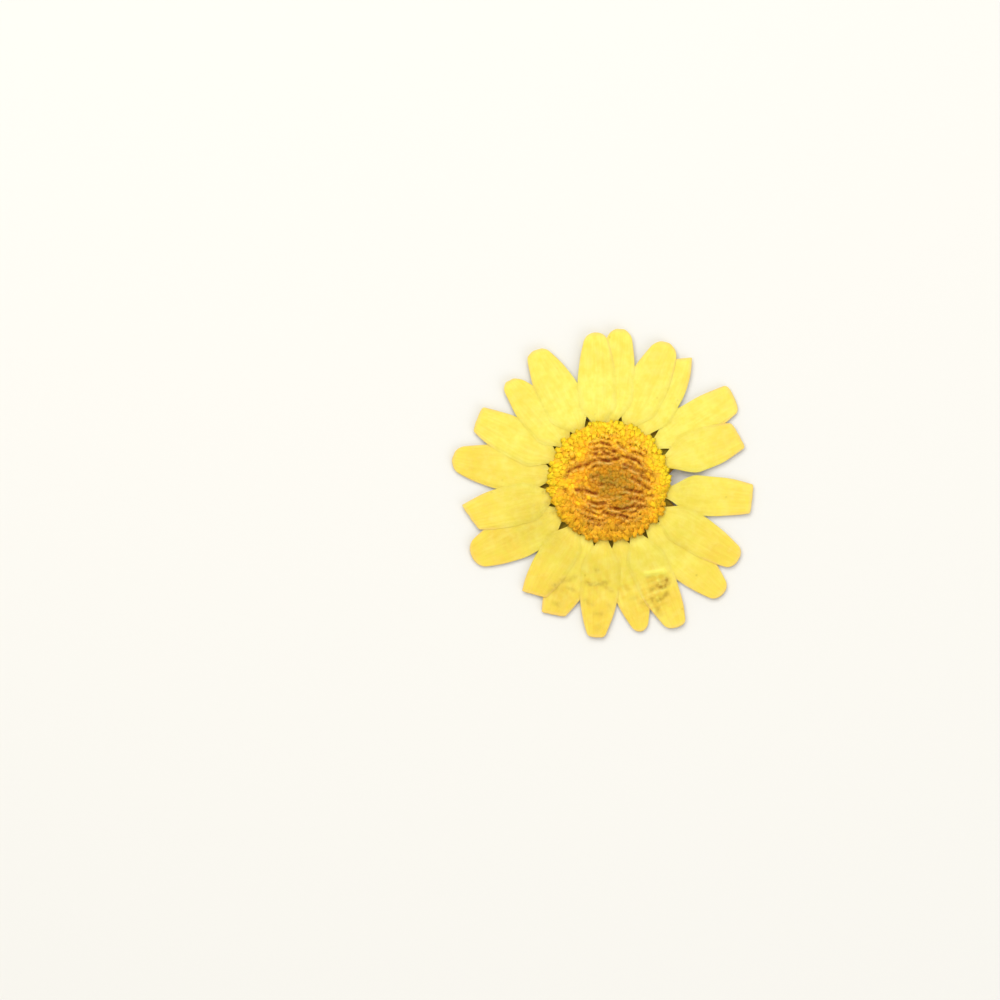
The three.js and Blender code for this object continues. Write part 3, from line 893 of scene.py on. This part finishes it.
def wrinkles(x, y):
    """The pressed wrinkles of the disc: how deep each point lies in a trough, how high it is on the lips
    beside one, and how much of the brown halo of one it has. The troughs and lips also move the surface;
    in the colour, the troughs and the halos are painted shade and the lips a painted highlight. Each
    fades as exp(-(d / width)^2) with the distance d from its path. The lip's path lies LIP_OFFSET
    towards -Y of the trough's, and a lower lip runs all round it. Small crumples make all uneven, and
    ripples run between them."""
    uneven = crumple_noise(x, y)
    patchy = np.clip(1.0 + 0.9 * crumple_noise(1.3 * y + 4, 1.3 * x), 0.3, 1.2)
    risen = smoothstep(crumple_noise(0.8 * y - 2, 0.8 * x + 1), -0.4, 0.3)
    wave = ripples(x, y)
    depth, lip, halo = 0.85 * np.clip(-wave, 0, 1) ** 2, 0.5 * np.clip(wave, 0, 1), 0 * x
    for path, strength in WRINKLES:
        off = distance_to_path(x, y, path) + 0.08 * uneven
        below = distance_to_path(x, y + LIP_OFFSET, path) + 0.05 * uneven
        lower = 0.35 * bell(off - LIP_OFFSET, ROUND_LIP_WIDTH)
        ridge = np.maximum(bell(below, LIP_WIDTH), lower)
        depth = np.maximum(depth, strength * patchy * bell(off, TROUGH_WIDTH))
        lip = np.maximum(lip, strength * risen * ridge)
        halo = np.maximum(halo, strength * bell(off, HALO_WIDTH))
    depth = np.minimum(depth, 1)
    return depth, lip * (1 - depth), halo


def core_height(radius):
    """Height of the core's upper face at a distance from the axis, read off its outline."""
    upper = np.array(CORE_OUTLINE[UPPER_FROM:])[::-1]
    return np.interp(radius, upper[:, 0], upper[:, 1])


class DAISY_OT_disc_core(bpy.types.Operator):
    """Turns the pithy core that the florets stand on, with the wrinkles that pressing left in it"""

    bl_idname = "daisy.disc_core"
    bl_label = "Disc Core"

    def execute(self, context):
        outline = np.array(CORE_OUTLINE)
        lengths = np.hypot(*np.diff(outline, axis=0).T)
        places = np.concatenate([[0], np.cumsum(lengths)])
        steps = np.linspace(0, places[-1], CORE_STEPS)
        radius = np.interp(steps, places, outline[:, 0])
        height = np.interp(steps, places, outline[:, 1])
        radius, turn = np.meshgrid(radius, full_turn(CORE_COLUMNS), indexing="ij")
        upper = (steps > places[UPPER_FROM])[:, None]
        x, y = radius * np.cos(turn), radius * np.sin(turn)
        depth, lip, _ = wrinkles(x, y)
        pits = 0.03 * crumple_noise(x, y) + LIP_RISE * lip - TROUGH_DROP * depth
        height = height[:, None] + upper * pits
        reach = np.clip(radius / CORE_SHADED_TO, 0, 1)
        make_turned(
            "disc_core",
            x,
            y,
            height,
            CORE_POLES,
            core_material(),
            "disc_florets",
            {"trough": (depth, (0, 0)), "reach": (reach, (0, 0))},
        )
        return {"FINISHED"}


def floret_rings(shape, turn):
    """One floret's rings as columns of points round its axis: each ring is its radius, widened and
    lowered at the five lobes by cos(5 turn), and the two poles follow."""
    radius, height, lobed, dark = (
        np.array(shape[key])[:, None] for key in ("radius", "height", "lobed", "dark")
    )
    lobe = np.cos(5 * turn)[None, :]
    wide = radius * (1 + 0.24 * lobed * lobe)
    tall = height - 0.04 * lobed * lobe
    points = np.stack([wide * np.cos(turn), wide * np.sin(turn), tall], -1).reshape(-1, 3)
    poles = [(0, 0, pole) for pole in shape["poles"]]
    shade = np.repeat(dark, len(turn), axis=1).ravel()
    return np.concatenate([points, poles]), np.concatenate([shade, [1.0, shape["dark"][-1]]])


class DAISY_OT_disc_florets(bpy.types.Operator):
    """Sets the tubular florets on the disc along a golden-angle spiral, open at the rim, fallen
    outwards further in, and closed in the middle"""

    bl_idname = "daisy.disc_florets"
    bl_label = "Disc Florets"

    def execute(self, context):
        settings = context.scene.daisy_disc
        rng = np.random.default_rng(settings.seed)
        count = settings.florets
        index = np.arange(count)
        share = np.sqrt((index + 0.5) / count)
        turn = index * GOLDEN_ANGLE
        rim = smoothstep(share, 0.9, 1.0)
        radius = share * settings.radius / MM + rng.normal(0, 0.03 + 0.06 * rim)
        x = radius * np.cos(turn) + rng.normal(0, 0.06, count)
        y = radius * np.sin(turn) + rng.normal(0, 0.06, count)
        opened = smoothstep(share + rng.normal(0, 0.05, count), 0.55, 0.8)
        budded = 1 - smoothstep(share, 0.2, 0.36)
        fallen = (1 - opened) * (1 - budded)
        size = 0.92 * opened + 0.98 * fallen + 1.04 * budded + rng.normal(0, 0.07, count)
        lean = np.radians(30 * opened + 20 * rim + 34 * fallen + rng.normal(0, 10, count))
        lift = -0.15 - 0.06 * opened + rng.normal(0, 0.045, count)
        broad = 1 + 0.4 * fallen - 0.2 * opened + rng.normal(0, 0.05, count)
        long = 1 + 0.45 * opened
        facing = turn + np.radians(rng.normal(0, 25, count))

        columns = full_turn(FLORET_COLUMNS)
        open_points, open_dark = floret_rings(OPEN_FLORET, columns)
        bud_points, bud_dark = floret_rings(BUD, columns)
        openness = np.clip(opened + rng.normal(0, 0.2, count) * fallen, 0, 1)[:, None]
        local = openness[..., None] * open_points + (1 - openness[..., None]) * bud_points
        dark = openness * open_dark + (1 - openness) * bud_dark
        spin = rng.uniform(0, 2 * np.pi, count)[:, None]
        local = local * size[:, None, None]
        outward, sideways = rotated(local[..., 0], local[..., 1], spin)
        outward, upward = rotated(outward, local[..., 2], -lean[:, None])
        outward, sideways = outward * long[:, None], sideways * broad[:, None]
        shift_x, shift_y = rotated(outward, sideways, facing[:, None])
        px, py = x[:, None] + shift_x, y[:, None] + shift_y
        depth, lip, halo = wrinkles(px, py)
        pz = (core_height(radius) + lift)[:, None] + upward + LIP_RISE * lip - TROUGH_DROP * depth
        points = np.stack([px, py, pz], -1)

        # Painted shade: the open florets towards -Y and the fallen ones towards the lower right are made
        # less ripe, so more orange brown, on the side away from the light above.
        painted_side_shade = 0.42 * opened * smoothstep(-y, -1.0, 4.5) - 0.04 * opened
        painted_side_shade = painted_side_shade + 0.22 * fallen * smoothstep(x - 0.6 * y, -0.5, 3.0)
        ripeness = share - painted_side_shade + rng.normal(0, 0.04 + 0.06 * fallen)
        # halo and trough are painted shade round and in the wrinkles, dark is painted shade between the
        # tubes, and lip a painted highlight on the wrinkles' lips.
        values = {
            "ripeness": ripeness[:, None] - 0.08 * halo,
            "dark": 0.15 * dark,
            "trough": depth,
            "lip": 0.65 * lip,
        }
        quads, triangles = wrapped_faces(len(OPEN_FLORET["radius"]), FLORET_COLUMNS)

        material = floret_material()
        parts = {
            "closed_buds": share < BUDS_TO,
            "fallen_florets": (share >= BUDS_TO) & (share < OPEN_FROM),
            "open_florets": share >= OPEN_FROM,
        }
        for name, chosen in parts.items():
            base = np.arange(chosen.sum())[:, None, None] * points.shape[1]
            make_piece(
                name,
                points[chosen].reshape(-1, 3),
                (quads[None] + base).reshape(-1, 4),
                (triangles[None] + base).reshape(-1, 3),
                material,
                "disc_florets",
                {key: numbers[chosen] for key, numbers in values.items()},
            )
        return {"FINISHED"}


def gap_angles():
    """Directions of the inner bracts: one midway between each two petals' roots, or in a wide gap one
    close beside each of the two petals, under their edges."""
    roots = np.sort([petal["root"] for petal in PETALS])
    gaps = np.diff(roots, append=roots[0] + 360)
    wide = gaps > WIDE_GAP
    aside = np.concatenate([roots[wide] + BRACT_ASIDE, (roots + gaps)[wide] - BRACT_ASIDE])
    return np.concatenate([(roots + gaps / 2)[~wide], aside])


def bract_sheet(row, angle, thickness, rng):
    """One bract: a pointed sheet with a raised midrib. Its half width swells over the first third and
    closes to the tip, and it tilts a little so that its one side lies over the next bract."""
    along, across = sheet_grid(*BRACT_GRID)
    reach = row["reach"] * (1 + rng.uniform(-0.03, 0.03))
    swollen = 0.7 + 0.3 * smoothstep(along, 0, 0.35)
    closed = 1 - 0.93 * smoothstep(along, 0.5, 1.0) ** 1.6
    half = row["half"] * swollen * closed
    distance = row["start"] + along * (reach - row["start"])
    cos, sin = direction(angle)
    x = cos * distance - sin * half * across
    y = sin * distance + cos * half * across
    rib = bell(across, 0.16) * (1 - along**2)
    tilt = 0.07 * across * half / row["half"]
    droop = rng.uniform(-0.02, 0.03) * along**2
    middle = row["height"] + tilt + droop + 0.02 * np.cos(6 * across) - 0.03 * rib
    edge = (1 - np.abs(across)) * half
    sheet = thickness * (0.4 + 0.6 * smoothstep(edge, 0, 0.25)) * (1 + 0.6 * rib)
    points, quads = sheet_points(x, y, middle + sheet / 2, middle - sheet / 2)
    values = {
        "midrib": 0.8 * rib,
        "margin": np.maximum(1 - smoothstep(edge, 0.02, 0.22), smoothstep(along, 0.75, 1.0)),
    }
    uv = np.stack([across * row["half"] + 3 * angle, distance], -1).reshape(-1, 2)
    return points, quads, values, uv


class DAISY_OT_bracts(bpy.types.Operator):
    """Lays the three rows of green bracts under the petals"""

    bl_idname = "daisy.bracts"
    bl_label = "Bracts"

    def execute(self, context):
        settings = context.scene.daisy_base
        rng = np.random.default_rng(settings.seed)
        material = bract_material(settings)
        for number, row in enumerate(BRACT_ROWS, 1):
            angles = gap_angles() + row["turn"]
            angles = angles + rng.uniform(-1, 1, len(angles)) * number
            sheets = [bract_sheet(row, angle, settings.thickness / MM, rng) for angle in angles]
            starts = np.cumsum([0] + [len(points) for points, *_ in sheets[:-1]])
            make_piece(
                f"bract_row_{number}",
                np.concatenate([points for points, *_ in sheets]),
                np.concatenate([quads + start for (_, quads, *_), start in zip(sheets, starts)]),
                NO_TRIANGLES,
                material,
                "involucre",
                {
                    key: np.concatenate([np.tile(values[key].ravel(), 2) for *_, values, _ in sheets])
                    for key in ("midrib", "margin")
                },
                np.concatenate([np.tile(uv, (2, 1)) for *_, uv in sheets]),
            )
        return {"FINISHED"}


class DAISY_OT_receptacle(bpy.types.Operator):
    """Turns the flat receptacle, with the scar of the cut stalk in the middle of its underside"""

    bl_idname = "daisy.receptacle"
    bl_label = "Receptacle"

    def execute(self, context):
        outline = np.array(RECEPTACLE_OUTLINE)
        steps = np.linspace(0, len(outline) - 1, RECEPTACLE_STEPS)
        radius, height = (np.interp(steps, np.arange(len(outline)), line) for line in outline.T)
        radius, turn = np.meshgrid(radius, full_turn(RECEPTACLE_COLUMNS), indexing="ij")
        height = np.repeat(height[:, None], RECEPTACLE_COLUMNS, axis=1)
        below = height < UNDERSIDE_TO
        fibres = 0.012 * np.cos(31 * turn) * smoothstep(radius, 0.15, 0.4) * below
        ribs = 0.02 * np.cos(13 * turn + 0.5) * smoothstep(radius, 1.0, 2.2) * below
        scar = (1 - smoothstep(radius, 0.62, 0.85)) * below
        make_turned(
            "receptacle",
            radius * np.cos(turn),
            radius * np.sin(turn),
            np.maximum(height + fibres + ribs, 0.0),
            RECEPTACLE_POLES,
            receptacle_material(),
            "involucre",
            {"scar": (scar, (1.0, 0.0))},
        )
        return {"FINISHED"}


def soft_light(name, place, size, power, colour_hex):
    """A square soft box that faces the flower."""
    lamp = bpy.data.lights.new(name, "AREA")
    lamp.shape = "SQUARE"
    lamp.size = size
    lamp.energy = power
    lamp.color = linear(colour_hex)[:3]
    holder = bpy.data.objects.new(name, lamp)
    holder.location = place
    holder.rotation_euler = Vector(place).to_track_quat("Z", "Y").to_euler()
    bpy.context.scene.collection.objects.link(holder)


class DAISY_OT_stage(bpy.types.Operator):
    """Sets the pale floor, the soft light and the camera that looks straight down"""

    bl_idname = "daisy.stage"
    bl_label = "Stage"

    def execute(self, context):
        scene = context.scene
        settings = scene.daisy_stage
        half = FLOOR_HALF
        mesh = bpy.data.meshes.new("floor")
        corners = [(-half, -half, 0), (half, -half, 0), (half, half, 0), (-half, half, 0)]
        mesh.from_pydata(corners, [], [(0, 1, 2, 3)])
        floor = bpy.data.objects.new("floor", mesh)
        scene.collection.objects.link(floor)
        material, tree, shader, _ = new_material("matte_card_floor")
        set_inputs(tree, shader, {"Base Color": tuple(settings.floor), "Roughness": 0.9})
        mesh.materials.append(material)

        world = bpy.data.worlds.new("soft_room")
        world.use_nodes = True
        sky = world.node_tree.nodes["Background"]
        set_inputs(world.node_tree, sky, {"Color": "#F2F1EE", "Strength": 0.5})
        scene.world = world
        for lamp in LAMPS:
            soft_light(*lamp)

        lens = bpy.data.cameras.new("overhead")
        lens.sensor_width = SENSOR
        lens.lens = SENSOR * settings.distance / settings.view_width
        lens.clip_start = 0.01
        lens.clip_end = 10
        camera = bpy.data.objects.new("overhead", lens)
        camera.location = (*PICTURE_MIDDLE, settings.distance + CAMERA_RISE)
        scene.collection.objects.link(camera)
        scene.camera = camera
        scene.view_settings.view_transform = "Standard"
        return {"FINISHED"}


class DAISY_PT_panel(bpy.types.Panel):
    """Lists the daisy's settings and its pieces"""

    bl_idname = "DAISY_PT_panel"
    bl_label = "Pressed Daisy"
    bl_space_type = "VIEW_3D"
    bl_region_type = "UI"
    bl_category = "Daisy"

    def draw(self, context):
        for group, operators in PANEL.items():
            box = self.layout.box()
            settings = getattr(context.scene, group)
            for name in settings.__annotations__:
                box.prop(settings, name)
            for operator in operators:
                box.operator(operator.bl_idname)


PANEL = {
    "daisy_base": (DAISY_OT_bracts, DAISY_OT_receptacle),
    "daisy_petals": (DAISY_OT_ray_petals, DAISY_OT_petal_bases),
    "daisy_disc": (DAISY_OT_disc_core, DAISY_OT_disc_florets),
    "daisy_stage": (DAISY_OT_stage,),
}
GROUPS = {
    "daisy_base": DaisyBase,
    "daisy_petals": DaisyPetals,
    "daisy_disc": DaisyDisc,
    "daisy_stage": DaisyStage,
}
CLASSES = (*GROUPS.values(), *(one for many in PANEL.values() for one in many), DAISY_PT_panel)


def register():
    for one in CLASSES:
        bpy.utils.register_class(one)
    for name, group in GROUPS.items():
        setattr(bpy.types.Scene, name, PointerProperty(type=group))


def unregister():
    for name in GROUPS:
        delattr(bpy.types.Scene, name)
    for one in reversed(CLASSES):
        bpy.utils.unregister_class(one)


def main():
    """Registers the add-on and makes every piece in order."""
    register()
    bpy.ops.daisy.bracts()
    bpy.ops.daisy.receptacle()
    bpy.ops.daisy.ray_petals()
    bpy.ops.daisy.petal_bases()
    bpy.ops.daisy.disc_core()
    bpy.ops.daisy.disc_florets()
    bpy.ops.daisy.stage()


if __name__ == "__main__":
    main()
